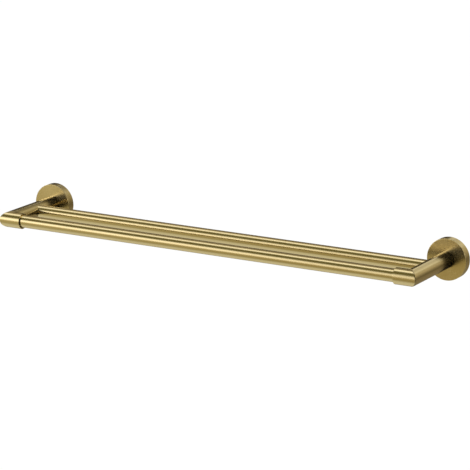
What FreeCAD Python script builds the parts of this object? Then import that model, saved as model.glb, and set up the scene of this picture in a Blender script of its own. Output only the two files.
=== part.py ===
"""Wall-mounted double towel rail: two parallel bars between two arms, on concealed wall brackets.

The frame: X runs along the bars, -Y points out of the wall into the room, +Z is up.
The origin is on the wall, midway between the two arms and level with their axes.
The right-hand pieces are made first, and the left-hand ones are their mirror images.
"""
import FreeCAD, Part
import math
import os

# Driving dimensions, in millimetres
ARM_SPACING = 600.0         # between the two arms' axes
FRONT_BAR_OUT = 113.0       # wall to the front bar's axis
BACK_BAR_OUT = 54.0         # wall to the back bar's axis
ARM_D = 21.5                # arms and corner sleeves
SLEEVE_END = 21.0           # arm's axis to the sleeve's open end
BAR_D = 17.0
BAR_WALL = 1.0
ROSETTE_D = 55.0
ROSETTE_T = 11.5
ROSETTE_WALL = 2.5          # side wall of the rosette's cup
ROSETTE_FRONT = 5.0         # thickness of the rosette's front
ARM_SEAT = 1.5              # how deep the arm sits in the rosette's front
BRACKET_T = 4.5
WALL_HOLE_RISE = 16.0       # bracket's screw holes above and below the arm's axis
WALL_HOLE_D = 5.0
WALL_HOLE_SINK_D = 10.0     # mouth of their 90 degree countersink

# Play and edge breaks
PLAY = 0.05                 # radial play of a shaft or screw in its hole
SEAT_PLAY = 0.1             # round the bracket, and under the back bar's ends
END_PLAY = 0.3              # between the front bar's end and the floor of its socket
HEAD_PLAY = 0.25            # radial play of the corner screw's head in the spigot
CLEARANCE = 0.3             # radial play of the arm screw in the rosette
EDGE_ROUND = 0.4            # rounded outer edges of the arms and sleeves
ROSETTE_ROUND = 0.6         # rounded rim of the rosette's front
EDGE_BREAK = 0.2            # small chamfers on bores and dowels

# Helpers of the modelling itself
OVERCUT = 1.0               # how far a cutting tool runs past a face
NEAR = 0.01                 # two points closer than this are the same one

# Sizes that follow from them
ARM_X = ARM_SPACING / 2
ARM_R = ARM_D / 2
BAR_R = BAR_D / 2
BAR_BORE_R = BAR_R - BAR_WALL
SOCKET_R = BAR_R + PLAY
ROSETTE_R = ROSETTE_D / 2
CAVITY_R = ROSETTE_R - ROSETTE_WALL
CAVITY_DEPTH = ROSETTE_T - ROSETTE_FRONT

# Screws: thread diameter, length, chamfer of the point, hexagon across flats and depth
M5_GRUB = {"d": 5.0, "length": 5.0, "point": 0.6, "hex": 2.5, "hex_depth": 2.5}
M4_GRUB = {"d": 4.0, "length": 4.0, "point": 0.5, "hex": 2.0, "hex_depth": 2.0}
ARM_SCREW = {"d": 6.0, "length": 16.0, "point": 0.6, "hex": 3.0, "hex_depth": 2.2}
ARM_SCREW_HEAD = {"d": 10.0, "height": 4.0}
CORNER_SCREW = {"d": 5.0, "length": 25.0, "point": 0.5, "hex": 4.0, "hex_depth": 2.5}
CORNER_SCREW_HEAD = {"d": 8.5, "height": 5.0}
TAPPED_SPARE = 1.0          # a tapped hole is this much deeper than its screw reaches

# The corner joint, measured from the arm's axis towards the middle of the rail
SOCKET_FLOOR = 11.0         # floor of the sleeve's socket
SPIGOT_LENGTH = 20.0
SPIGOT_LEAD = 1.0           # chamfer that leads the bar onto it
SPIGOT_FLOOR = 5.0          # solid end of the spigot, under the corner screw's head
FRONT_GRUB_AT = 15.5
PIN_DIMPLE_DEPTH = 0.95     # how far the front grub screw's seat goes into the spigot
CORNER_DOWEL_D = 3.0
CORNER_DOWEL_LENGTH = 12.0
CORNER_DOWEL_RISE = 6.2

# The back bar's joint, measured the same way
SEAT_FLOOR = 6.4            # floor of the shallow seat in the arm's side
PLUG_LENGTH = 14.0          # the part inside the bar
PLUG_PIN_R = 5.0
PLUG_PIN_LENGTH = 9.0
PLUG_PIN_LEAD = 0.4         # chamfer that leads the pin into the arm
BACK_GRUB_AT = 2.0

# The rosette's lock
LOCK_GRUB_OUT = 3.5         # wall to the grub screw's axis
LOCK_BOSS_WIDTH = 9.0
LOCK_BOSS_TOP = 22.7        # below the arm's axis
FLAT_FRONT_DROP = 22.3      # bracket's slanted flat: drop at its front face
FLAT_BACK_DROP = 20.8       # and at the wall
LOCK_GRUB_RECESS = 0.2      # its outer end lies this far inside the rosette's side
BRACKET_OPENING_R = 9.5     # clears the arm screw's head

# The spring washer under the arm screw's head
WASHER_OUTER_R = 5.9
WASHER_INNER_R = 3.1
WASHER_T = 1.6
WASHER_SLIT = 1.0

OUTWARD = FreeCAD.Vector(0, -1, 0)
UP = FreeCAD.Vector(0, 0, 1)
TO_RIGHT = FreeCAD.Vector(1, 0, 0)


def at(inward, out, rise):
    """A point of the right-hand side: inward from the arm's axis, out from the wall, up from the axis."""
    return FreeCAD.Vector(ARM_X - inward, -out, rise)


def rod(radius, start, end):
    """A round rod between two points."""
    axis = end - start
    return Part.makeCylinder(radius, axis.Length, start, axis)


def cone(start_radius, end_radius, start, end):
    """A round cone between two points."""
    axis = end - start
    return Part.makeCone(start_radius, end_radius, axis.Length, start, axis)


def hexagon_rod(across_flats, start, end):
    """A hexagonal rod between two points, as a socket's hollow."""
    axis = end - start
    corner_radius = across_flats / math.sqrt(3)
    corners = []
    for degrees in range(0, 360, 60):
        angle = math.radians(degrees)
        corners.append(FreeCAD.Vector(corner_radius * math.cos(angle), corner_radius * math.sin(angle), 0))
    face = Part.Face(Part.makePolygon(corners + [corners[0]]))
    solid = face.extrude(FreeCAD.Vector(0, 0, axis.Length))
    solid.Placement = FreeCAD.Placement(start, FreeCAD.Rotation(UP, axis))
    return solid


def edges_at(shape, centre):
    """The edges whose middle lies at a point, such as the rim of a round face round its centre."""
    return [edge for edge in shape.Edges if (edge.CenterOfMass - centre).Length < NEAR]


def mirrored(shape):
    """The left-hand twin of a right-hand piece."""
    return shape.mirror(FreeCAD.Vector(0, 0, 0), TO_RIGHT)


def cap_screw(size, head_size, seat, direction):
    """A socket cap screw: its head's underside at seat, its shank pointing along direction."""
    tip = seat + direction * size["length"]
    shank = rod(size["d"] / 2, seat, tip)
    shank = shank.makeChamfer(size["point"], edges_at(shank, tip))
    top = seat - direction * head_size["height"]
    head = rod(head_size["d"] / 2, seat, top)
    head = head.makeFillet(EDGE_ROUND, edges_at(head, top))
    socket = hexagon_rod(size["hex"], top, top + direction * size["hex_depth"])
    return shank.fuse(head).removeSplitter().cut(socket)


def grub_screw(size, outer_end, direction):
    """A headless screw with a hexagon socket: its flat point leads along direction."""
    inner_end = outer_end + direction * size["length"]
    body = rod(size["d"] / 2, outer_end, inner_end)
    rims = edges_at(body, outer_end) + edges_at(body, inner_end)
    body = body.makeChamfer(size["point"], rims)
    return body.cut(hexagon_rod(size["hex"], outer_end, outer_end + direction * size["hex_depth"]))


def grub_hole(size, outer_end, inner_end):
    """The hole that a grub screw is driven into."""
    return rod(size["d"] / 2 + PLAY, outer_end, inner_end)


def mitre_side(arm_side):
    """All the space on one side of the corner's 45 degree mitre plane."""
    reach = 2 * ARM_D
    inner = (reach, FRONT_BAR_OUT - reach)
    outer = (-reach, FRONT_BAR_OUT + reach)
    if arm_side:
        rest = [(-reach, -reach), (reach, -reach)]
    else:
        rest = [(reach, FRONT_BAR_OUT + reach)]
    outline = [inner, outer] + rest + [inner]
    corners = [at(inward, out, -reach) for inward, out in outline]
    return Part.Face(Part.makePolygon(corners)).extrude(UP * 2 * reach)


def round_mitre_edge(shape):
    """Break the long oval edge round a mitred face, so that the joint shows as a fine groove."""
    ovals = [edge for edge in shape.Edges if isinstance(edge.Curve, Part.Ellipse)]
    return shape.makeChamfer(EDGE_ROUND, ovals)


def corner_drillings():
    """The corner screw's and the dowel's holes, as both halves of the mitre have them."""
    screw_end = SOCKET_FLOOR + SPIGOT_FLOOR - CORNER_SCREW["length"]
    screw_hole = rod(
        CORNER_SCREW["d"] / 2 + PLAY,
        at(SOCKET_FLOOR, FRONT_BAR_OUT, 0),
        at(screw_end - END_PLAY, FRONT_BAR_OUT, 0),
    )
    half = CORNER_DOWEL_LENGTH / 2
    dowel_hole = rod(
        CORNER_DOWEL_D / 2 + PLAY,
        at(half + PLAY, FRONT_BAR_OUT, CORNER_DOWEL_RISE),
        at(-half - PLAY, FRONT_BAR_OUT, CORNER_DOWEL_RISE),
    )
    return [screw_hole, dowel_hole]


def make_arm():
    """Solid round arm: foot in the rosette's seat, mitred front, a seat for the back bar in its side."""
    foot_out = ROSETTE_T - ARM_SEAT
    shape = rod(ARM_R, at(0, foot_out, 0), at(0, FRONT_BAR_OUT + ARM_D, 0))
    shape = round_mitre_edge(shape.common(mitre_side(True)))
    foot_hole_end = CAVITY_DEPTH - WASHER_T + ARM_SCREW["length"] + TAPPED_SPARE
    pin_hole_end = SEAT_FLOOR - PLUG_PIN_LENGTH - END_PLAY
    cuts = [
        rod(ARM_SCREW["d"] / 2 + PLAY, at(0, 0, 0), at(0, foot_hole_end, 0)),
        rod(SOCKET_R, at(ARM_D, BACK_BAR_OUT, 0), at(SEAT_FLOOR, BACK_BAR_OUT, 0)),
        rod(PLUG_PIN_R + PLAY, at(ARM_D, BACK_BAR_OUT, 0), at(pin_hole_end, BACK_BAR_OUT, 0)),
        grub_hole(M5_GRUB, at(BACK_GRUB_AT, BACK_BAR_OUT, -ARM_D), at(BACK_GRUB_AT, BACK_BAR_OUT, 0)),
    ]
    return shape.cut(cuts + corner_drillings())


def make_corner_sleeve():
    """Short mitred sleeve on the front bar's axis, with a socket for the bar's end."""
    shape = rod(ARM_R, at(-ARM_D, FRONT_BAR_OUT, 0), at(SLEEVE_END, FRONT_BAR_OUT, 0))
    mouth = at(SLEEVE_END, FRONT_BAR_OUT, 0)
    shape = shape.makeFillet(EDGE_ROUND, edges_at(shape, mouth))
    shape = round_mitre_edge(shape.common(mitre_side(False)))
    break_start = at(SLEEVE_END - EDGE_BREAK, FRONT_BAR_OUT, 0)
    cuts = [
        rod(SOCKET_R, at(SOCKET_FLOOR, FRONT_BAR_OUT, 0), mouth),
        cone(SOCKET_R, SOCKET_R + EDGE_BREAK, break_start, mouth),
        grub_hole(M4_GRUB, at(FRONT_GRUB_AT, FRONT_BAR_OUT, -ARM_D), at(FRONT_GRUB_AT, FRONT_BAR_OUT, 0)),
    ]
    return shape.cut(cuts + corner_drillings())


def make_rosette():
    """Turned cup: thick front with a seat for the arm, hollow back, and a boss for the lock screw."""
    face_centre = at(0, ROSETTE_T, 0)
    shape = rod(ROSETTE_R, at(0, 0, 0), face_centre)
    shape = shape.makeFillet(ROSETTE_ROUND, edges_at(shape, face_centre))
    cavity = rod(CAVITY_R, at(0, 0, 0), at(0, CAVITY_DEPTH, 0))
    boss_corner = at(LOCK_BOSS_WIDTH / 2, CAVITY_DEPTH, -CAVITY_R)
    boss = Part.makeBox(LOCK_BOSS_WIDTH, CAVITY_DEPTH - END_PLAY, CAVITY_R - LOCK_BOSS_TOP, boss_corner)
    cuts = [
        cavity.cut(boss),
        rod(ARM_R + PLAY, at(0, ROSETTE_T - ARM_SEAT, 0), at(0, ROSETTE_T + OVERCUT, 0)),
        rod(ARM_SCREW["d"] / 2 + CLEARANCE, at(0, 0, 0), at(0, ROSETTE_T, 0)),
        grub_hole(
            M5_GRUB,
            at(0, LOCK_GRUB_OUT, -ROSETTE_R - OVERCUT),
            at(0, LOCK_GRUB_OUT, -LOCK_BOSS_TOP + OVERCUT),
        ),
    ]
    return shape.cut(cuts)


def make_wall_bracket():
    """Steel disc that is screwed to the wall. Its slanted flat below draws the rosette onto the wall."""
    shape = rod(CAVITY_R - SEAT_PLAY, at(0, 0, 0), at(0, BRACKET_T, 0))
    half = ROSETTE_R
    slope = (FLAT_FRONT_DROP - FLAT_BACK_DROP) / BRACKET_T
    outline = [
        at(half, -OVERCUT, -FLAT_BACK_DROP + slope * OVERCUT),
        at(half, BRACKET_T + OVERCUT, -FLAT_FRONT_DROP - slope * OVERCUT),
        at(half, BRACKET_T + OVERCUT, -ROSETTE_D),
        at(half, -OVERCUT, -ROSETTE_D),
    ]
    wedge = Part.Face(Part.makePolygon(outline + [outline[0]])).extrude(TO_RIGHT * 2 * half)
    cuts = [wedge, rod(BRACKET_OPENING_R, at(0, 0, 0), at(0, BRACKET_T, 0))]
    sink_depth = (WALL_HOLE_SINK_D - WALL_HOLE_D) / 2
    for rise in (-WALL_HOLE_RISE, WALL_HOLE_RISE):
        cuts.append(rod(WALL_HOLE_D / 2, at(0, 0, rise), at(0, BRACKET_T, rise)))
        sink_start = at(0, BRACKET_T - sink_depth, rise)
        cuts.append(cone(WALL_HOLE_D / 2, WALL_HOLE_SINK_D / 2, sink_start, at(0, BRACKET_T, rise)))
    return shape.cut(cuts)


def make_front_bar():
    """Tube between the two sleeves, with a hole below near each end for its grub screw."""
    end = SOCKET_FLOOR + END_PLAY
    right_end = at(end, FRONT_BAR_OUT, 0)
    left_end = FreeCAD.Vector(-right_end.x, right_end.y, right_end.z)
    tube = rod(BAR_R, left_end, right_end).cut(rod(BAR_BORE_R, left_end, right_end))
    hole = grub_hole(M4_GRUB, at(FRONT_GRUB_AT, FRONT_BAR_OUT, -ARM_D), at(FRONT_GRUB_AT, FRONT_BAR_OUT, 0))
    return tube.cut([hole, mirrored(hole)])


def make_back_bar():
    """Tube between the two arms."""
    end = SEAT_FLOOR + SEAT_PLAY
    right_end = at(end, BACK_BAR_OUT, 0)
    left_end = FreeCAD.Vector(-right_end.x, right_end.y, right_end.z)
    return rod(BAR_R, left_end, right_end).cut(rod(BAR_BORE_R, left_end, right_end))


def make_front_bar_spigot():
    """Turned spigot at the socket's floor: the bar slides over it, and the corner screw holds it."""
    start = at(SOCKET_FLOOR, FRONT_BAR_OUT, 0)
    end = at(SOCKET_FLOOR + SPIGOT_LENGTH, FRONT_BAR_OUT, 0)
    shape = rod(BAR_BORE_R - PLAY, start, end)
    shape = shape.makeChamfer(SPIGOT_LEAD, edges_at(shape, end))
    dimple_top = PIN_DIMPLE_DEPTH - BAR_BORE_R
    head_seat = at(SOCKET_FLOOR + SPIGOT_FLOOR, FRONT_BAR_OUT, 0)
    cuts = [
        rod(CORNER_SCREW["d"] / 2 + PLAY, start, end),
        rod(CORNER_SCREW_HEAD["d"] / 2 + HEAD_PLAY, head_seat, end),
        grub_hole(
            M4_GRUB,
            at(FRONT_GRUB_AT, FRONT_BAR_OUT, -ARM_D),
            at(FRONT_GRUB_AT, FRONT_BAR_OUT, dimple_top),
        ),
    ]
    return shape.cut(cuts)


def make_back_bar_plug():
    """End plug of the back bar: its body fills the tube's end and its pin enters the arm."""
    shoulder = SEAT_FLOOR + SEAT_PLAY
    body = rod(
        BAR_BORE_R - PLAY,
        at(shoulder, BACK_BAR_OUT, 0),
        at(shoulder + PLUG_LENGTH, BACK_BAR_OUT, 0),
    )
    pin_end = at(shoulder - PLUG_PIN_LENGTH, BACK_BAR_OUT, 0)
    pin = rod(PLUG_PIN_R, at(shoulder + PLUG_LENGTH / 2, BACK_BAR_OUT, 0), pin_end)
    pin = pin.makeChamfer(PLUG_PIN_LEAD, edges_at(pin, pin_end))
    return body.fuse(pin).removeSplitter()


def make_arm_screw():
    """Low-head cap screw from the rosette's hollow into the arm's foot."""
    return cap_screw(ARM_SCREW, ARM_SCREW_HEAD, at(0, CAVITY_DEPTH - WASHER_T, 0), OUTWARD)


def make_arm_spring_washer():
    """Split spring washer between the arm screw's head and the rosette's front."""
    start = at(0, CAVITY_DEPTH - WASHER_T, 0)
    end = at(0, CAVITY_DEPTH, 0)
    ring = rod(WASHER_OUTER_R, start, end).cut(rod(WASHER_INNER_R, start, end))
    slit = Part.makeBox(WASHER_SLIT, WASHER_T, WASHER_OUTER_R, at(WASHER_SLIT / 2, CAVITY_DEPTH, 0))
    return ring.cut(slit)


def make_corner_screw():
    """Cap screw along the front bar's axis, through the spigot and the sleeve into the arm."""
    seat = at(SOCKET_FLOOR + SPIGOT_FLOOR, FRONT_BAR_OUT, 0)
    return cap_screw(CORNER_SCREW, CORNER_SCREW_HEAD, seat, TO_RIGHT)


def make_corner_dowel():
    """Hardened pin across the mitre, beside the corner screw."""
    half = CORNER_DOWEL_LENGTH / 2
    inner_end = at(half, FRONT_BAR_OUT, CORNER_DOWEL_RISE)
    outer_end = at(-half, FRONT_BAR_OUT, CORNER_DOWEL_RISE)
    pin = rod(CORNER_DOWEL_D / 2, inner_end, outer_end)
    return pin.makeChamfer(EDGE_BREAK, edges_at(pin, inner_end) + edges_at(pin, outer_end))


def make_rosette_grub_screw():
    """Grub screw in the rosette's underside, which bears on the bracket's slanted flat."""
    return grub_screw(M5_GRUB, at(0, LOCK_GRUB_OUT, LOCK_GRUB_RECESS - ROSETTE_R), UP)


def make_back_bar_grub_screw():
    """Grub screw in the arm's underside, which bears on the back bar plug's pin."""
    outer_end = at(BACK_GRUB_AT, BACK_BAR_OUT, -PLUG_PIN_R - M5_GRUB["length"])
    return grub_screw(M5_GRUB, outer_end, UP)


def make_front_bar_grub_screw():
    """Grub screw in the sleeve's underside, which passes the bar's wall and seats in the spigot."""
    point = PIN_DIMPLE_DEPTH - BAR_BORE_R
    return grub_screw(M4_GRUB, at(FRONT_GRUB_AT, FRONT_BAR_OUT, point - M4_GRUB["length"]), UP)


def write(name, shape):
    """Write one sub-part as a STEP file."""
    shape.exportStep("parts/" + name + ".step")
    print(name, "solids", len(shape.Solids), "volume", round(shape.Volume, 1), "valid", shape.isValid())


os.makedirs("parts", exist_ok=True)

write("front_bar", make_front_bar())
write("back_bar", make_back_bar())

ONE_EACH_SIDE = {
    "wall_bracket": make_wall_bracket,
    "rosette": make_rosette,
    "arm": make_arm,
    "corner_sleeve": make_corner_sleeve,
    "front_bar_spigot": make_front_bar_spigot,
    "back_bar_plug": make_back_bar_plug,
}
for name, make in ONE_EACH_SIDE.items():
    right_piece = make()
    write("right_" + name, right_piece)
    write("left_" + name, mirrored(right_piece))

PAIRS_IN_ONE_NODE = {
    "arm_screws": make_arm_screw,
    "arm_spring_washers": make_arm_spring_washer,
    "corner_screws": make_corner_screw,
    "corner_dowels": make_corner_dowel,
    "rosette_grub_screws": make_rosette_grub_screw,
    "back_bar_grub_screws": make_back_bar_grub_screw,
    "front_bar_grub_screws": make_front_bar_grub_screw,
}
for name, make in PAIRS_IN_ONE_NODE.items():
    right_piece = make()
    write(name, Part.makeCompound([right_piece, mirrored(right_piece)]))
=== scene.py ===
import bmesh
import bpy
import math
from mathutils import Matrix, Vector


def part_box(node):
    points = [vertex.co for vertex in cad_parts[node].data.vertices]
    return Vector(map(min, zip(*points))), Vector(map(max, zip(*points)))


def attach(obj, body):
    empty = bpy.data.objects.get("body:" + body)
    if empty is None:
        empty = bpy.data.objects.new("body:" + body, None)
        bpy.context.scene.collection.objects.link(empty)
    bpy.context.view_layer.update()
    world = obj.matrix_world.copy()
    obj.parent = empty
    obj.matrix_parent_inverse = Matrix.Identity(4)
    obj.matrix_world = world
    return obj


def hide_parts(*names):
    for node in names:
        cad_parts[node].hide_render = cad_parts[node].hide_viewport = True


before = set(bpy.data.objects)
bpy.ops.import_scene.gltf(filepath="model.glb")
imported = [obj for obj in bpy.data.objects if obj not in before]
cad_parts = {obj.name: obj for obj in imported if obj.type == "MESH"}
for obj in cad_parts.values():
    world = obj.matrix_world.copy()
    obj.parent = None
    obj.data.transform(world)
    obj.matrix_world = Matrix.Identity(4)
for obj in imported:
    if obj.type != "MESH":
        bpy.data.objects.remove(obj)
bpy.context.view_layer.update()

# Camera.
# It stands in front of the rail, to the right and a little above it, with a long lens, and is level.
# The shift only centres the rail in the picture.
camera_azimuth = math.radians(30.13)
camera_elevation = math.radians(14.33)
camera_distance = 3.3
camera_target = Vector((0.0, -0.06, 0.0))
away = Vector((
    math.sin(camera_azimuth) * math.cos(camera_elevation),
    -math.cos(camera_azimuth) * math.cos(camera_elevation),
    math.sin(camera_elevation),
))
camera_data = bpy.data.cameras.new("camera")
camera = bpy.data.objects.new("camera", camera_data)
bpy.context.scene.collection.objects.link(camera)
camera.location = camera_target + away * camera_distance
camera.rotation_mode = "QUATERNION"
camera.rotation_quaternion = (-away).to_track_quat("-Z", "Y")
camera_data.sensor_width = 36.0
camera_data.lens = 193.16
camera_data.shift_x = 0.0269
camera_data.shift_y = 0.0074
camera_data.clip_end = 50.0
bpy.context.scene.camera = camera
bpy.context.scene.view_settings.view_transform = "Standard"


# Floor.
# A round sheet of white acrylic, lit from below and well under the rail. The brass doesn't mirror it,
# because a wall-hung rail has no floor this near.
def add_node(tree, kind, inputs=None, **settings):
    """A new node, with its settings made and each named input linked or filled in."""
    node = tree.nodes.new(kind)
    for name, value in settings.items():
        setattr(node, name, value)
    for slot, value in (inputs or {}).items():
        if isinstance(value, bpy.types.NodeSocket):
            tree.links.new(value, node.inputs[slot])
        else:
            node.inputs[slot].default_value = value
    return node


floor_depth = 0.45
floor_radius = 14.0
bpy.ops.object.select_all(action="DESELECT")
bpy.ops.mesh.primitive_circle_add(
    vertices=128, radius=floor_radius, fill_type="NGON", location=(0, 0, -floor_depth)
)
floor = bpy.context.active_object
floor.name = "floor"
floor.visible_glossy = False
acrylic = bpy.data.materials.new("lit_acrylic")
acrylic.use_nodes = True
acrylic_shader = acrylic.node_tree.nodes["Principled BSDF"]
acrylic_shader.inputs["Base Color"].default_value = (0.04, 0.04, 0.04, 1)
acrylic_shader.inputs["Roughness"].default_value = 0.9
acrylic_shader.inputs["Specular IOR Level"].default_value = 0.0
acrylic_shader.inputs["Emission Color"].default_value = (1, 1, 1, 1)
acrylic_shader.inputs["Emission Strength"].default_value = 1.0
floor.data.materials.append(acrylic)


# Studio light.
# The room is white to the camera. What lights the metal is a darker, warmer room with a long soft lamp
# overhead, another in front to the left, and a pale wall behind to the right.
def calculate(tree, operation, first, second=0.0, clamp=False):
    """The result of one sum on two values."""
    node = add_node(tree, "ShaderNodeMath", {0: first, 1: second}, operation=operation)
    node.use_clamp = clamp
    return node.outputs[0]


def ease(tree, value, start, end):
    """0 before start, 1 after end, and a soft step between them."""
    inputs = {"Value": value, "From Min": start, "From Max": end}
    return add_node(tree, "ShaderNodeMapRange", inputs, interpolation_type="SMOOTHSTEP").outputs["Result"]


def colour_steps(tree, value, lowest, highest, steps):
    """A colour for each value between lowest and highest, from a list of (value, colour) steps."""
    span = highest - lowest
    position = calculate(tree, "DIVIDE", calculate(tree, "SUBTRACT", value, lowest), span)
    node = add_node(tree, "ShaderNodeValToRGB", {"Fac": position})
    node.color_ramp.interpolation = "EASE"
    while len(node.color_ramp.elements) < len(steps):
        node.color_ramp.elements.new(1.0)
    for element, (at, colour) in zip(node.color_ramp.elements, steps):
        element.position = (at - lowest) / span
        element.color = (*colour, 1)
    return node.outputs["Color"]


def mix_colours(tree, blend, factor, first, second):
    """Two colours blended, added or multiplied."""
    node = add_node(tree, "ShaderNodeMix", {"Factor": factor}, data_type="RGBA", blend_type=blend)
    for slot, colour in ((6, first), (7, second)):
        if isinstance(colour, bpy.types.NodeSocket):
            tree.links.new(colour, node.inputs[slot])
        else:
            node.inputs[slot].default_value = (*colour, 1)
    return node.outputs[2]


studio = bpy.data.worlds.new("studio")
bpy.context.scene.world = studio
studio.use_nodes = True
sky = studio.node_tree
sky.nodes.clear()
direction = add_node(sky, "ShaderNodeTexCoord").outputs["Generated"]
toward = add_node(sky, "ShaderNodeSeparateXYZ", {0: direction}).outputs

# Degrees round the rail's length: 0 level in front, 90 straight up, 180 level behind, -90 straight down.
forward = calculate(sky, "MULTIPLY", toward["Y"], -1.0)
turn = calculate(sky, "DEGREES", calculate(sky, "ARCTAN2", toward["Z"], forward))

room_steps = [
    (-180, (0.030, 0.025, 0.015)),
    (-155, (0.10, 0.08, 0.05)),
    (-110, (0.63, 0.61, 0.51)),
    (-70, (0.61, 0.60, 0.49)),
    (-33, (0.29, 0.235, 0.105)),
    (-10, (0.34, 0.268, 0.115)),
    (48, (0.130, 0.115, 0.040)),
    (66, (0.130, 0.115, 0.035)),
    (112, (0.22, 0.19, 0.12)),
    (146, (0.32, 0.27, 0.18)),
    (156, (0.030, 0.025, 0.015)),
    (180, (0.030, 0.025, 0.015)),
]
room = colour_steps(sky, turn, -180, 180, room_steps)
ceiling_back = calculate(sky, "MULTIPLY", ease(sky, turn, 118, 134), ease(sky, toward["X"], -0.44, -0.38))
room = mix_colours(sky, "MIX", ceiling_back, room, (0.06, 0.05, 0.03))


def lamp(lowest, highest, softness, colour, sideways_steps):
    """Light between two angles round the rail's length, stronger or weaker from left to right."""
    rise = ease(sky, turn, lowest - softness, lowest + softness)
    fall = ease(sky, turn, highest + softness, highest - softness)
    sideways = colour_steps(sky, toward["X"], -1, 1, [(x, (level,) * 3) for x, level in sideways_steps])
    shape = calculate(sky, "MULTIPLY", rise, fall)
    return mix_colours(sky, "MULTIPLY", 1.0, mix_colours(sky, "MIX", shape, (0, 0, 0), colour), sideways)


overhead_lamp = lamp(82, 108, 9, (1.04, 1.04, 1.02), [(-1, 1.0), (1, 1.0)])
front_lamp_steps = [(-1.0, 1.15), (-0.58, 1.15), (-0.39, 0.30), (0.0, 0.30), (0.12, 0.08), (0.45, 0.08), (0.65, 0.8)]
front_lamp = lamp(0, 33.5, 13, (1.33, 1.33, 1.33), front_lamp_steps)
left_fill = lamp(-45, -8, 12, (0.16, 0.175, 0.14), [(-1.0, 1.0), (-0.57, 1.0), (-0.43, 0.0), (1.0, 0.0)])

# The pale wall behind: dimmer below, hidden on the left, and with a bright panel above eye level.
wall_steps = [
    (-0.60, (0.06, 0.05, 0.03)),
    (-0.40, (0.12, 0.10, 0.06)),
    (-0.15, (0.14, 0.12, 0.07)),
    (0.05, (0.34, 0.30, 0.20)),
    (0.20, (0.48, 0.42, 0.29)),
    (0.32, (0.44, 0.39, 0.26)),
    (0.46, (0.31, 0.27, 0.17)),
    (0.58, (0.28, 0.24, 0.14)),
    (0.66, (0.05, 0.04, 0.02)),
]
wall_glow = colour_steps(sky, toward["Z"], -1, 1, wall_steps)
panel_rise = calculate(sky, "MULTIPLY", ease(sky, toward["Z"], 0.20, 0.42), ease(sky, toward["Z"], 0.55, 0.46))
panel = calculate(sky, "MULTIPLY", panel_rise, ease(sky, toward["X"], 0.38, 0.22))
wall_glow = mix_colours(sky, "MIX", panel, wall_glow, (0.76, 0.74, 0.63))
wall_sideways_steps = [
    (-0.74, (1, 1, 1)),
    (-0.62, (0, 0, 0)),
    (-0.41, (0, 0, 0)),
    (-0.32, (1, 1, 1)),
    (0.42, (1, 1, 1)),
    (0.54, (0.36, 0.33, 0.26)),
]
wall_sideways = colour_steps(sky, toward["X"], -1, 1, wall_sideways_steps)
high_left = calculate(sky, "MULTIPLY", ease(sky, toward["Z"], 0.47, 0.54), ease(sky, toward["X"], 0.12, -0.25))
wall_sideways = mix_colours(sky, "MIX", high_left, wall_sideways, (0.0, 0.0, 0.0))
light_path = add_node(sky, "ShaderNodeLightPath").outputs
second_bounce = calculate(sky, "GREATER_THAN", light_path["Ray Depth"], 2.5)
wall_sideways = mix_colours(sky, "MIX", second_bounce, wall_sideways, (0.8, 0.8, 0.8))
wall_glow = mix_colours(sky, "MULTIPLY", 1.0, wall_glow, wall_sideways)
behind = ease(sky, toward["Y"], 0.3, 0.5)
wall_glow = mix_colours(sky, "MIX", behind, (0, 0, 0), wall_glow)

mirrored_room = room
for light in (overhead_lamp, front_lamp, left_fill, wall_glow):
    mirrored_room = mix_colours(sky, "ADD", 1.0, mirrored_room, light)

# The front right is black below the horizon, as beside a camera. Where one piece mirrors another, all of
# the front right and the low space behind are black.
ahead = ease(sky, forward, 0.0, 0.3)
front_right = calculate(sky, "MULTIPLY", ease(sky, toward["X"], -0.44, -0.34), ahead)
low = ease(sky, toward["Z"], 0.1, -0.1)
low_behind = calculate(sky, "MULTIPLY", ease(sky, toward["Y"], -0.1, 0.1), low)
hidden = calculate(sky, "MULTIPLY", second_bounce, calculate(sky, "MAXIMUM", front_right, low_behind))
beside_camera = calculate(sky, "MULTIPLY", ease(sky, toward["X"], 0.2, 0.5), calculate(sky, "MULTIPLY", ahead, low))
blackness = calculate(sky, "MAXIMUM", hidden, beside_camera)
mirrored_room = mix_colours(sky, "MIX", blackness, mirrored_room, (0.0, 0.0, 0.0))

mirrored_light = add_node(sky, "ShaderNodeBackground", {"Color": mirrored_room})
white = add_node(sky, "ShaderNodeBackground", {"Color": (1, 1, 1, 1)})
seen_light = add_node(
    sky, "ShaderNodeMixShader",
    {0: light_path["Is Camera Ray"], 1: mirrored_light.outputs[0], 2: white.outputs[0]},
)
add_node(sky, "ShaderNodeOutputWorld", {"Surface": seen_light.outputs[0]})


# Wall brackets.
# Each is a disc of stainless steel plate, with a slanted flat below, a round opening and two
# countersunk holes. Two wall screws hold it, and the rosette drops over it.
def round_bar(name, radius, start, end, segments=128):
    """A closed round bar between two points, to be shaped further."""
    axis = end - start
    bpy.ops.object.select_all(action="DESELECT")
    bpy.ops.mesh.primitive_cylinder_add(
        vertices=segments,
        radius=radius,
        depth=axis.length,
        end_fill_type="NGON",
        location=(start + end) / 2,
        rotation=axis.to_track_quat("Z", "Y").to_euler(),
    )
    bpy.ops.object.transform_apply(location=True, rotation=True, scale=True)
    piece = bpy.context.active_object
    piece.name = name
    piece.data.name = name
    return piece


def edit(piece):
    """Open a piece in edit mode, with nothing else and none of its elements selected."""
    bpy.ops.object.select_all(action="DESELECT")
    piece.select_set(True)
    bpy.context.view_layer.objects.active = piece
    bpy.ops.object.mode_set(mode="EDIT")
    bpy.ops.mesh.select_mode(type="FACE")
    bpy.ops.mesh.select_all(action="DESELECT")


def select_faces(piece, rule):
    """Select only the faces whose centre and normal fit the rule."""
    bpy.ops.mesh.select_mode(type="FACE")
    bpy.ops.mesh.select_all(action="DESELECT")
    form = bmesh.from_edit_mesh(piece.data)
    for face in form.faces:
        if rule(face.calc_center_median(), face.normal):
            face.select_set(True)
    bmesh.update_edit_mesh(piece.data)


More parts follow.
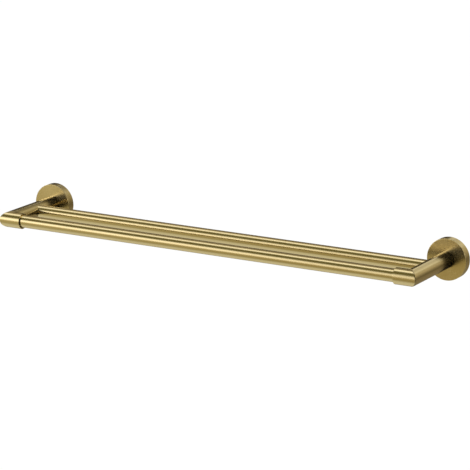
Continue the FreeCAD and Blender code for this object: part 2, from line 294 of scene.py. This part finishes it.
def select_edges(piece, rule):
    """Select only the edges whose two ends both fit the rule."""
    bpy.ops.mesh.select_mode(type="EDGE")
    bpy.ops.mesh.select_all(action="DESELECT")
    form = bmesh.from_edit_mesh(piece.data)
    for edge in form.edges:
        if all(rule(corner.co) for corner in edge.verts):
            edge.select_set(True)
    bmesh.update_edit_mesh(piece.data)


def cut_with(piece, tool, operation="DIFFERENCE"):
    """Cut a piece with a tool, or join the two, and take the tool away."""
    bpy.ops.object.select_all(action="DESELECT")
    bpy.context.view_layer.objects.active = piece
    cut = piece.modifiers.new("cut", "BOOLEAN")
    cut.operation = operation
    cut.solver = "EXACT"
    cut.object = tool
    bpy.ops.object.modifier_apply(modifier=cut.name)
    bpy.data.meshes.remove(tool.data)


def drill(piece, radius, start, end):
    """A round hole between two points."""
    cut_with(piece, round_bar("drill", radius, start, end, 64))


def left_twin(piece, name):
    """The left-hand copy of a right-hand piece, with its own mesh."""
    bpy.ops.object.select_all(action="DESELECT")
    piece.select_set(True)
    bpy.context.view_layer.objects.active = piece
    bpy.ops.object.duplicate()
    twin = bpy.context.active_object
    twin.name = name
    twin.data.name = name
    edit(twin)
    bpy.ops.mesh.select_all(action="SELECT")
    bpy.ops.transform.resize(value=(-1, 1, 1), center_override=(0, 0, 0))
    bpy.ops.mesh.normals_make_consistent(inside=False)
    bpy.ops.object.mode_set(mode="OBJECT")
    return twin


def finish_piece(piece, node, material):
    """Smooth a piece's round faces, give it its material and put it in its CAD node's place."""
    bpy.ops.object.select_all(action="DESELECT")
    piece.select_set(True)
    bpy.context.view_layer.objects.active = piece
    bpy.ops.object.shade_smooth_by_angle(angle=math.radians(32))
    weighted = piece.modifiers.new("shading", "WEIGHTED_NORMAL")
    weighted.keep_sharp = True
    bpy.ops.object.modifier_apply(modifier=weighted.name)
    piece.data.materials.clear()
    piece.data.materials.append(material)
    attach(piece, "root")
    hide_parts(node)


def new_group(name, inputs, outputs):
    """An empty shader node group with its named inputs and outputs."""
    group = bpy.data.node_groups.new(name, "ShaderNodeTree")
    for socket, default in inputs:
        entry = group.interface.new_socket(socket, in_out="INPUT", socket_type="NodeSocketFloat")
        entry.default_value = default
    for socket in outputs:
        group.interface.new_socket(socket, in_out="OUTPUT", socket_type="NodeSocketFloat")
    given = group.nodes.new("NodeGroupInput").outputs
    result = group.nodes.new("NodeGroupOutput").inputs
    return group, given, result


def use_group(tree, group, inputs):
    """A group placed in a material, with its own values."""
    node = tree.nodes.new("ShaderNodeGroup")
    node.node_tree = group
    for slot, value in inputs.items():
        if isinstance(value, bpy.types.NodeSocket):
            tree.links.new(value, node.inputs[slot])
        else:
            node.inputs[slot].default_value = value
    return node.outputs


# Rubbed edges, where handling and polishing have worn a metal brighter.
rubbed_edges, given, result = new_group("rubbed_edges", [("Width", 0.0006)], ["Edge"])
rounded = add_node(rubbed_edges, "ShaderNodeBevel", {"Radius": given["Width"]}, samples=4).outputs[0]
surface = add_node(rubbed_edges, "ShaderNodeNewGeometry").outputs["Normal"]
likeness = add_node(rubbed_edges, "ShaderNodeVectorMath", {0: rounded, 1: surface}, operation="DOT_PRODUCT")
rubbed_edges.links.new(ease(rubbed_edges, likeness.outputs["Value"], 0.995, 0.90), result["Edge"])


def sheet_steel(name, colour, grain):
    """Tumbled stainless steel: fine speckle, faint clouds and brighter edges."""
    material = bpy.data.materials.new(name)
    material.use_nodes = True
    tree = material.node_tree
    shader = tree.nodes["Principled BSDF"]
    place = add_node(tree, "ShaderNodeTexCoord").outputs["Object"]
    speckle = add_node(tree, "ShaderNodeTexNoise", {"Vector": place, "Scale": grain, "Detail": 3.0}).outputs[0]
    clouds = add_node(tree, "ShaderNodeTexNoise", {"Vector": place, "Scale": 90.0, "Detail": 2.0}).outputs[0]
    edge = use_group(tree, rubbed_edges, {"Width": 0.0004})["Edge"]
    darker = [0.86 * channel for channel in colour]
    lighter = [min(1.0, 1.12 * channel) for channel in colour]
    tint = mix_colours(tree, "MIX", clouds, darker, colour)
    tint = mix_colours(tree, "MIX", edge, tint, lighter)
    tree.links.new(tint, shader.inputs["Base Color"])
    roughness = calculate(tree, "ADD", calculate(tree, "MULTIPLY", speckle, 0.16), 0.26)
    tree.links.new(roughness, shader.inputs["Roughness"])
    bump = add_node(tree, "ShaderNodeBump", {"Height": speckle, "Strength": 0.25, "Distance": 0.00004})
    tree.links.new(bump.outputs[0], shader.inputs["Normal"])
    shader.inputs["Metallic"].default_value = 1.0
    return material


bracket_low, bracket_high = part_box("right_wall_bracket")
bracket_radius = (bracket_high.x - bracket_low.x) / 2
bracket_thickness = bracket_high.y - bracket_low.y
arm_x = (bracket_low.x + bracket_high.x) / 2
flat_front_drop = -bracket_low.z
flat_back_drop = 0.0208
bracket_opening_radius = 0.0095
wall_hole_rise = 0.016
wall_hole_radius = 0.0025
countersink_radius = 0.005
bracket_edge = 0.00015

wall_point = Vector((arm_x, 0, 0))
outward = Vector((0, -1, 0))
plate = round_bar("right_bracket_plate", bracket_radius, wall_point, wall_point + outward * bracket_thickness)
edit(plate)
bpy.ops.mesh.select_all(action="SELECT")
bpy.ops.mesh.bisect(
    plane_co=(arm_x, 0, -flat_back_drop),
    plane_no=(0, flat_front_drop - flat_back_drop, -bracket_thickness),
    use_fill=True,
    clear_outer=True,
)
select_edges(plate, lambda corner: abs(corner.y) < 1e-6)
bpy.ops.mesh.bevel(offset=bracket_edge, segments=2)
select_edges(plate, lambda corner: abs(corner.y + bracket_thickness) < 1e-6)
bpy.ops.mesh.bevel(offset=bracket_edge, segments=2)
bpy.ops.object.mode_set(mode="OBJECT")
overcut = 0.001
drill(plate, bracket_opening_radius, wall_point - outward * overcut,
      wall_point + outward * (bracket_thickness + overcut))
for rise in (-wall_hole_rise, wall_hole_rise):
    hole = wall_point + Vector((0, 0, rise))
    drill(plate, wall_hole_radius, hole - outward * overcut, hole + outward * (bracket_thickness + overcut))
    sink_depth = countersink_radius - wall_hole_radius
    bpy.ops.object.select_all(action="DESELECT")
    bpy.ops.mesh.primitive_cone_add(
        vertices=64,
        radius1=wall_hole_radius,
        radius2=countersink_radius + overcut,
        depth=sink_depth + overcut,
        location=hole + outward * (bracket_thickness - sink_depth + (sink_depth + overcut) / 2),
        rotation=outward.to_track_quat("Z", "Y").to_euler(),
    )
    cut_with(plate, bpy.context.active_object)
left_plate = left_twin(plate, "left_bracket_plate")
bracket_steel = sheet_steel("bracket_steel", (0.62, 0.62, 0.61), 5000.0)
finish_piece(plate, "right_wall_bracket", bracket_steel)
finish_piece(left_plate, "left_wall_bracket", bracket_steel)


# Rosettes.
# Each is a turned brass cup with a thick front, in a brushed finish. Its back is hollow, with a boss for
# the lock screw, and its front has a shallow seat where the arm's foot stands.
def tool_lines():
    """Fine lines round a turned or brushed piece's axis, and soft patches of more and less polish."""
    inputs = [("Along", 0.0), ("Side", 0.0), ("Rise", 0.0), ("Lines per metre", 4000.0)]
    group, given, result = new_group("tool_lines", inputs, ["Lines", "Patches"])
    side_squared = calculate(group, "MULTIPLY", given["Side"], given["Side"])
    rise_squared = calculate(group, "MULTIPLY", given["Rise"], given["Rise"])
    radius = calculate(group, "SQRT", calculate(group, "ADD", side_squared, rise_squared))
    radius = calculate(group, "MAXIMUM", radius, 0.0001)
    path = calculate(group, "ADD", given["Along"], radius)
    side = calculate(group, "DIVIDE", given["Side"], radius)
    rise = calculate(group, "DIVIDE", given["Rise"], radius)
    for output, pitch, detail in (("Lines", given["Lines per metre"], 3.0), ("Patches", 45.0, 2.0)):
        across = calculate(group, "MULTIPLY", path, pitch)
        spot = add_node(group, "ShaderNodeCombineXYZ", {0: across, 1: side, 2: rise}).outputs[0]
        noise = add_node(group, "ShaderNodeTexNoise", {"Vector": spot, "Scale": 1.0, "Detail": detail})
        group.links.new(noise.outputs[0], result[output])
    return group


tool_lines = tool_lines()


def from_axis(tree, axis, centre):
    """How far a point lies along a piece's axis, and to its two sides. A pair's left piece is folded over."""
    place = add_node(tree, "ShaderNodeTexCoord").outputs["Object"]
    x, y, z = add_node(tree, "ShaderNodeSeparateXYZ", {0: place}).outputs
    if centre.x > 0:
        x = calculate(tree, "ABSOLUTE", x)
    x = calculate(tree, "SUBTRACT", x, centre.x)
    y = calculate(tree, "SUBTRACT", y, centre.y)
    return {"X": (x, y, z), "Y": (y, x, z), "Z": (z, x, y)}[axis]


def brushed_brass(name, axis, centre, dullness=0.16):
    """Brass brushed round an axis, whose centre line runs through a point."""
    material = bpy.data.materials.new(name)
    material.use_nodes = True
    tree = material.node_tree
    shader = tree.nodes["Principled BSDF"]
    along, side, rise = from_axis(tree, axis, centre)
    marks = use_group(tree, tool_lines, {"Along": along, "Side": side, "Rise": rise})
    edge = use_group(tree, rubbed_edges, {"Width": 0.0006})["Edge"]
    shade = calculate(tree, "ADD", calculate(tree, "MULTIPLY", marks["Lines"], 0.5),
                      calculate(tree, "MULTIPLY", marks["Patches"], 0.5))
    tint = mix_colours(tree, "MIX", shade, (0.81, 0.665, 0.37), (0.89, 0.765, 0.46))
    tint = mix_colours(tree, "MIX", edge, tint, (0.93, 0.82, 0.55))
    tree.links.new(tint, shader.inputs["Base Color"])
    roughness = calculate(tree, "ADD", calculate(tree, "MULTIPLY", marks["Patches"], 0.06), dullness)
    roughness = calculate(tree, "ADD", roughness, calculate(tree, "MULTIPLY", marks["Lines"], 0.04))
    roughness = calculate(tree, "SUBTRACT", roughness, calculate(tree, "MULTIPLY", edge, 0.04))
    tree.links.new(roughness, shader.inputs["Roughness"])
    bump = add_node(tree, "ShaderNodeBump", {"Height": marks["Lines"], "Strength": 0.12, "Distance": 0.00002})
    tree.links.new(bump.outputs[0], shader.inputs["Normal"])
    round_about = add_node(tree, "ShaderNodeTangent", direction_type="RADIAL", axis=axis)
    tree.links.new(round_about.outputs[0], shader.inputs["Tangent"])
    shader.inputs["Metallic"].default_value = 1.0
    shader.inputs["Anisotropic"].default_value = 0.4
    shader.inputs["Anisotropic Rotation"].default_value = 0.25
    return material


rosette_low, rosette_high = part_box("right_rosette")
rosette_radius = (rosette_high.x - rosette_low.x) / 2
rosette_thickness = rosette_high.y - rosette_low.y
rosette_wall = 0.0025
rosette_front = 0.005
rosette_rounding = 0.0006
arm_low, arm_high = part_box("right_arm")
arm_radius = (arm_high.x - arm_low.x) / 2
arm_foot_out = -arm_high.y
play = 0.00005
arm_screw_hole_radius = 0.0033
lock_screw_out = 0.0035
lock_screw_hole_radius = 0.00255
lock_boss_width = 0.009
lock_boss_top = 0.0227
lock_boss_depth = 0.0062

face_centre = wall_point + outward * rosette_thickness
cup = round_bar("right_rosette_cup", rosette_radius, wall_point, face_centre, 192)
edit(cup)
select_faces(cup, lambda centre, normal: normal.y > 0.9)
bpy.ops.mesh.inset(thickness=rosette_wall)
bpy.ops.mesh.extrude_region_move(
    TRANSFORM_OT_translate={"value": outward * (rosette_thickness - rosette_front)}
)
select_faces(cup, lambda centre, normal: normal.y < -0.9)
bpy.ops.mesh.inset(thickness=rosette_radius - arm_radius - play)
bpy.ops.mesh.extrude_region_move(
    TRANSFORM_OT_translate={"value": -outward * (rosette_thickness - arm_foot_out)}
)


def on_cup_rim(corner):
    """A point of the rim round the rosette's front."""
    from_axis = math.hypot(corner.x - arm_x, corner.z)
    return abs(corner.y + rosette_thickness) < 1e-6 and from_axis > rosette_radius - 1e-5


select_edges(cup, on_cup_rim)
bpy.ops.mesh.bevel(offset=rosette_rounding, segments=4)
bpy.ops.object.mode_set(mode="OBJECT")
boss_front = -rosette_thickness + rosette_front / 2
boss_back = -rosette_thickness + rosette_front + lock_boss_depth
boss_bottom = rosette_radius - rosette_wall / 2
bpy.ops.object.select_all(action="DESELECT")
bpy.ops.mesh.primitive_cube_add(
    size=1,
    location=(arm_x, (boss_front + boss_back) / 2, -(lock_boss_top + boss_bottom) / 2),
    scale=(lock_boss_width, boss_back - boss_front, boss_bottom - lock_boss_top),
)
bpy.ops.object.transform_apply(location=True, rotation=True, scale=True)
cut_with(cup, bpy.context.active_object, "UNION")
drill(cup, arm_screw_hole_radius, wall_point, face_centre)
lock_screw_bore = Vector((arm_x, -lock_screw_out, 0))
drill(cup, lock_screw_hole_radius, lock_screw_bore - Vector((0, 0, rosette_radius + overcut)),
      lock_screw_bore - Vector((0, 0, lock_boss_top - overcut)))
left_cup = left_twin(cup, "left_rosette_cup")
turned_face = brushed_brass("rosette_brass", "Y", Vector((arm_x, 0, 0)), dullness=0.21)
finish_piece(cup, "right_rosette", turned_face)
finish_piece(left_cup, "left_rosette", turned_face)


# Rosette grub screws, arm screws and their spring washers.
# Stainless steel fasteners. The arm screw clamps the arm's foot to the rosette from behind, and the
# headless screw in the rosette's underside locks the rosette down on its bracket.
def screw_finish(name, axis, centre):
    """Turned stainless steel, with fine lines round the screw's axis."""
    material = bpy.data.materials.new(name)
    material.use_nodes = True
    tree = material.node_tree
    shader = tree.nodes["Principled BSDF"]
    along, side, rise = from_axis(tree, axis, centre)
    inputs = {"Along": along, "Side": side, "Rise": rise, "Lines per metre": 6000.0}
    marks = use_group(tree, tool_lines, inputs)
    edge = use_group(tree, rubbed_edges, {"Width": 0.0003})["Edge"]
    tint = mix_colours(tree, "MIX", marks["Patches"], (0.44, 0.44, 0.43), (0.58, 0.58, 0.57))
    tint = mix_colours(tree, "MIX", edge, tint, (0.72, 0.72, 0.71))
    tree.links.new(tint, shader.inputs["Base Color"])
    roughness = calculate(tree, "ADD", calculate(tree, "MULTIPLY", marks["Lines"], 0.14), 0.22)
    tree.links.new(roughness, shader.inputs["Roughness"])
    bump = add_node(tree, "ShaderNodeBump", {"Height": marks["Lines"], "Strength": 0.3, "Distance": 0.00003})
    tree.links.new(bump.outputs[0], shader.inputs["Normal"])
    shader.inputs["Metallic"].default_value = 1.0
    return material


def finish_node(name, material):
    """A CAD node keeps its shape and gets its own material."""
    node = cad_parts[name]
    node.data.materials.clear()
    node.data.materials.append(material)


arm_axis = Vector((arm_x, 0, 0))
finish_node("rosette_grub_screws", screw_finish("lock_screw_steel", "Z", Vector((arm_x, -lock_screw_out, 0))))
arm_screw_steel = screw_finish("arm_screw_steel", "Y", arm_axis)
finish_node("arm_screws", arm_screw_steel)
finish_node("arm_spring_washers", arm_screw_steel)


# Arms.
# Each is a solid brass bar, brushed round its axis. Its foot stands in the rosette's seat, its side has
# a shallow seat and a hole for the back bar, and its front is mitred for the corner sleeve.
front_low, front_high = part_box("front_bar")
back_low, back_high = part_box("back_bar")
front_bar_radius = (front_high.z - front_low.z) / 2
back_bar_radius = (back_high.z - back_low.z) / 2
front_bar_y = (front_low.y + front_high.y) / 2
back_bar_y = (back_low.y + back_high.y) / 2
mitre_rounding = 0.0006
mitre_gap = 0.0004
back_seat_floor = 0.0064
back_pin_radius = 0.005
back_pin_hole_floor = -0.0029
back_screw_inward = 0.002
back_screw_hole_radius = 0.00255
foot_hole_radius = 0.00305
foot_hole_end = 0.0219
corner_screw_hole_radius = 0.00255
corner_screw_hole_end = 0.0093
dowel_radius = 0.0015
dowel_half = 0.00605
dowel_rise = 0.0062
to_right = Vector((1, 0, 0))
up = Vector((0, 0, 1))


def mitre(piece, corner, keep):
    """Cut a piece at 45 degrees through the corner, half a hairline short, and round the oval edge."""
    plane_normal = Vector((1, 1, 0)).normalized() * keep
    middle = corner - plane_normal * mitre_gap / 2
    edit(piece)
    bpy.ops.mesh.select_all(action="SELECT")
    bpy.ops.mesh.bisect(plane_co=middle, plane_no=plane_normal, use_fill=True, clear_outer=True)
    select_edges(piece, lambda point: abs((point - middle).dot(plane_normal)) < 1e-6)
    bpy.ops.mesh.bevel(offset=mitre_rounding, segments=3)
    bpy.ops.object.mode_set(mode="OBJECT")


def drill_corner(piece):
    """The corner screw's and the dowel's holes, which cross the mitre."""
    inner = corner - to_right * 0.0115
    drill(piece, corner_screw_hole_radius, inner, corner + to_right * corner_screw_hole_end)
    pin = corner + up * dowel_rise
    drill(piece, dowel_radius + play, pin - to_right * dowel_half, pin + to_right * dowel_half)


corner = Vector((arm_x, front_bar_y, 0))
back_joint = Vector((arm_x, back_bar_y, 0))
rod = round_bar("right_arm_rod", arm_radius, wall_point + outward * arm_foot_out, corner + outward * 2 * arm_radius)
mitre(rod, corner, -1)
drill(rod, foot_hole_radius, wall_point, wall_point + outward * foot_hole_end)
drill(rod, back_bar_radius + play, back_joint - to_right * 2 * arm_radius, back_joint - to_right * back_seat_floor)
drill(rod, back_pin_radius + play, back_joint - to_right * arm_radius, back_joint - to_right * back_pin_hole_floor)
back_screw = back_joint - to_right * back_screw_inward
drill(rod, back_screw_hole_radius, back_screw - up * 2 * arm_radius, back_screw)
drill_corner(rod)
left_rod = left_twin(rod, "left_arm_rod")
arm_brass = brushed_brass("arm_brass", "Y", arm_axis)
finish_piece(rod, "right_arm", arm_brass)
finish_piece(left_rod, "left_arm", arm_brass)


# Corner sleeves.
# Each is a short brass sleeve of the arm's diameter, brushed round the front bar's axis. It is mitred to
# the arm, pinned by a dowel and drawn tight by the corner screw, and the bar's end enters its socket.
sleeve_low, sleeve_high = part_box("right_corner_sleeve")
sleeve_end = corner - to_right * (arm_x - sleeve_low.x)
socket_depth = 0.010
sleeve_rounding = 0.0004
mouth_chamfer = 0.0002
front_screw_inward = 0.0155
front_screw_hole_radius = 0.00205

sleeve = round_bar("right_sleeve", arm_radius, sleeve_end, corner + to_right * 2 * arm_radius)
mitre(sleeve, corner, 1)
edit(sleeve)
select_faces(sleeve, lambda centre, normal: normal.x < -0.99)
bpy.ops.mesh.inset(thickness=arm_radius - front_bar_radius - play)
bpy.ops.mesh.extrude_region_move(TRANSFORM_OT_translate={"value": to_right * socket_depth})


def on_mouth(lowest, highest):
    """The points in the plane of the sleeve's mouth, between two distances from its axis."""
    return lambda point: (
        abs(point.x - sleeve_end.x) < 1e-6 and lowest < math.hypot(point.y - front_bar_y, point.z) < highest
    )


select_edges(sleeve, on_mouth(front_bar_radius + 0.001, arm_radius + 0.001))
bpy.ops.mesh.bevel(offset=sleeve_rounding, segments=3)
select_edges(sleeve, on_mouth(0, front_bar_radius + 0.001))
bpy.ops.mesh.bevel(offset=mouth_chamfer, segments=1)
bpy.ops.object.mode_set(mode="OBJECT")
front_screw = corner - to_right * front_screw_inward
drill(sleeve, front_screw_hole_radius, front_screw - up * 2 * arm_radius, front_screw)
drill_corner(sleeve)
left_sleeve = left_twin(sleeve, "left_sleeve")
sleeve_brass = brushed_brass("sleeve_brass", "X", Vector((0, front_bar_y, 0)))
finish_piece(sleeve, "right_corner_sleeve", sleeve_brass)
finish_piece(left_sleeve, "left_corner_sleeve", sleeve_brass)


# Corner screws, dowels and the front bar's grub screws.
# Stainless fasteners inside the corner. The cap screw lies on the front bar's axis, the dowel above it,
# and the headless screw comes from below and seats in the spigot.
front_axis = Vector((0, front_bar_y, 0))
corner_steel = screw_finish("corner_screw_steel", "X", front_axis)
finish_node("corner_screws", corner_steel)
finish_node("corner_dowels", screw_finish("dowel_steel", "X", front_axis + up * dowel_rise))
finish_node("front_bar_grub_screws", screw_finish("front_bar_screw_steel", "Z", front_screw))


# Front bar's spigots.
# Each is a short turned brass core, bored for the corner screw. It stands in the sleeve's socket, and
# the bar slides over it.
def turned_brass(name, axis, centre):
    """Brass as it comes off the lathe: coarser lines and a duller, yellower colour."""
    material = bpy.data.materials.new(name)
    material.use_nodes = True
    tree = material.node_tree
    shader = tree.nodes["Principled BSDF"]
    along, side, rise = from_axis(tree, axis, centre)
    inputs = {"Along": along, "Side": side, "Rise": rise, "Lines per metre": 2500.0}
    marks = use_group(tree, tool_lines, inputs)
    edge = use_group(tree, rubbed_edges, {"Width": 0.0004})["Edge"]
    tint = mix_colours(tree, "MIX", marks["Patches"], (0.70, 0.56, 0.29), (0.82, 0.68, 0.38))
    tint = mix_colours(tree, "MIX", edge, tint, (0.90, 0.78, 0.50))
    tree.links.new(tint, shader.inputs["Base Color"])
    roughness = calculate(tree, "ADD", calculate(tree, "MULTIPLY", marks["Lines"], 0.16), 0.24)
    tree.links.new(roughness, shader.inputs["Roughness"])
    bump = add_node(tree, "ShaderNodeBump", {"Height": marks["Lines"], "Strength": 0.4, "Distance": 0.00005})
    tree.links.new(bump.outputs[0], shader.inputs["Normal"])
    shader.inputs["Metallic"].default_value = 1.0
    return material


spigot_brass = turned_brass("spigot_brass", "X", front_axis)
finish_node("right_front_bar_spigot", spigot_brass)
finish_node("left_front_bar_spigot", spigot_brass)


# Front bar.
# A thin brass tube, brushed round its length. Each end enters a corner sleeve over its spigot, and a
# small hole below each end lets the grub screw through.
def tube(name, radius, left_end, right_end):
    """A thin tube between two points, with its ends just broken."""
    piece = round_bar(name, radius, left_end, right_end)
    edit(piece)
    select_faces(piece, lambda centre, normal: abs(normal.x) > 0.99)
    bpy.ops.mesh.delete(type="ONLY_FACE")
    bpy.ops.object.mode_set(mode="OBJECT")
    wall = piece.modifiers.new("wall", "SOLIDIFY")
    wall.thickness = bar_wall
    wall.offset = -1.0
    wall.use_even_offset = True
    bpy.ops.object.modifier_apply(modifier=wall.name)
    edit(piece)
    select_edges(piece, lambda point: abs(point.x - left_end.x) < 1e-6 or abs(point.x - right_end.x) < 1e-6)
    bpy.ops.mesh.bevel(offset=bar_end_break, segments=1)
    bpy.ops.object.mode_set(mode="OBJECT")
    return piece


bar_wall = 0.001
bar_end_break = 0.0001
front_left_end = Vector((front_low.x, front_bar_y, 0))
front_right_end = Vector((front_high.x, front_bar_y, 0))
front_tube = tube("front_tube", front_bar_radius, front_left_end, front_right_end)
for screw_x in (front_screw.x, -front_screw.x):
    screw_point = Vector((screw_x, front_bar_y, 0))
    drill(front_tube, front_screw_hole_radius, screw_point - up * arm_radius, screw_point)
finish_piece(front_tube, "front_bar", brushed_brass("front_bar_brass", "X", front_axis))


# Back bar's end plugs and their grub screws.
# Each plug is turned brass: its body fills the tube's end, and its pin enters the arm. A stainless
# headless screw in the arm's underside bears on the pin.
back_axis = Vector((0, back_bar_y, 0))
plug_brass = turned_brass("plug_brass", "X", back_axis)
finish_node("right_back_bar_plug", plug_brass)
finish_node("left_back_bar_plug", plug_brass)
finish_node("back_bar_grub_screws", screw_finish("back_bar_screw_steel", "Z", back_screw))


# Back bar.
# The same brass tube, a little longer. Its ends sit in the shallow seats in the arms' inner sides.
back_left_end = Vector((back_low.x, back_bar_y, 0))
back_right_end = Vector((back_high.x, back_bar_y, 0))
back_tube = tube("back_tube", back_bar_radius, back_left_end, back_right_end)
finish_piece(back_tube, "back_bar", brushed_brass("back_bar_brass", "X", back_axis))
